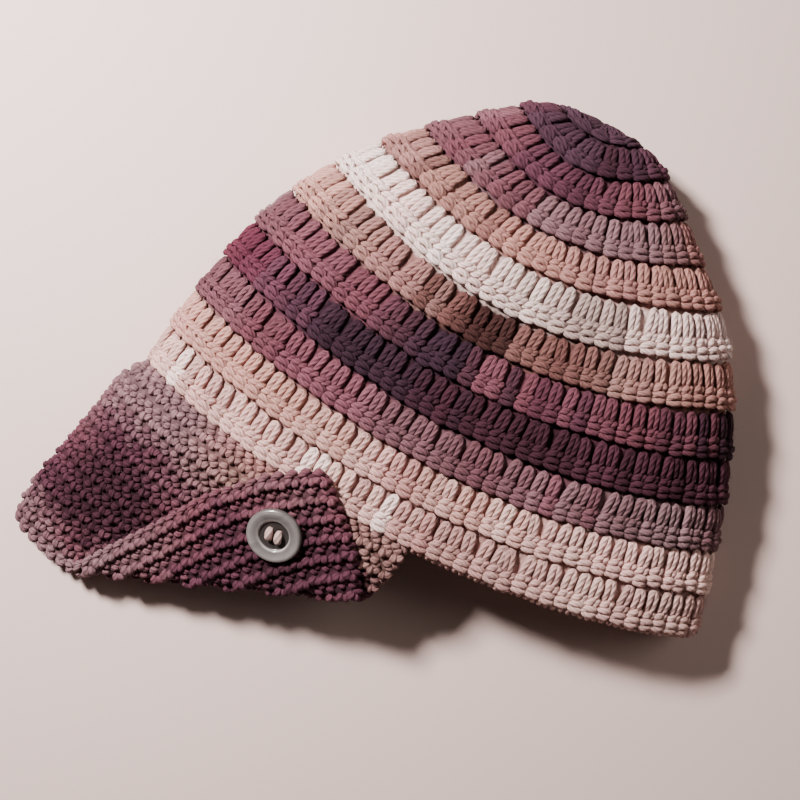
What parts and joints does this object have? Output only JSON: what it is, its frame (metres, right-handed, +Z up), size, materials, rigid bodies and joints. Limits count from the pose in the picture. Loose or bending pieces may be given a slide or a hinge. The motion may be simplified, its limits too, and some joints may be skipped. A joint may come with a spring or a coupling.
{
  "type": "crochet hat",
  "caption": "Crocheted cotton cap in striped pink, white and plum rounds, lying on its side, with a soft peak whose corner is turned up under a round button",
  "frame": {"origin": "under the middle of the hat's box, on the surface that it lies on", "axes": "+Z up from the surface; +Y from the rim toward the top centre of the crown; +X from the front fold toward the back fold; the hat lies on its side"},
  "size_m": [0.2676, 0.2568, 0.0504],
  "materials": {
    "crown_yarn": "matte",
    "peak_yarn": "matte",
    "pearl_button": "gloss",
    "sewing_yarn": "matte"
  },
  "bodies": {
    "root": {"crown": "crown_yarn", "peak": "peak_yarn", "button": "pearl_button", "button_thread_left": "sewing_yarn", "button_thread_right": "sewing_yarn"}
  },
  "joints": []
}
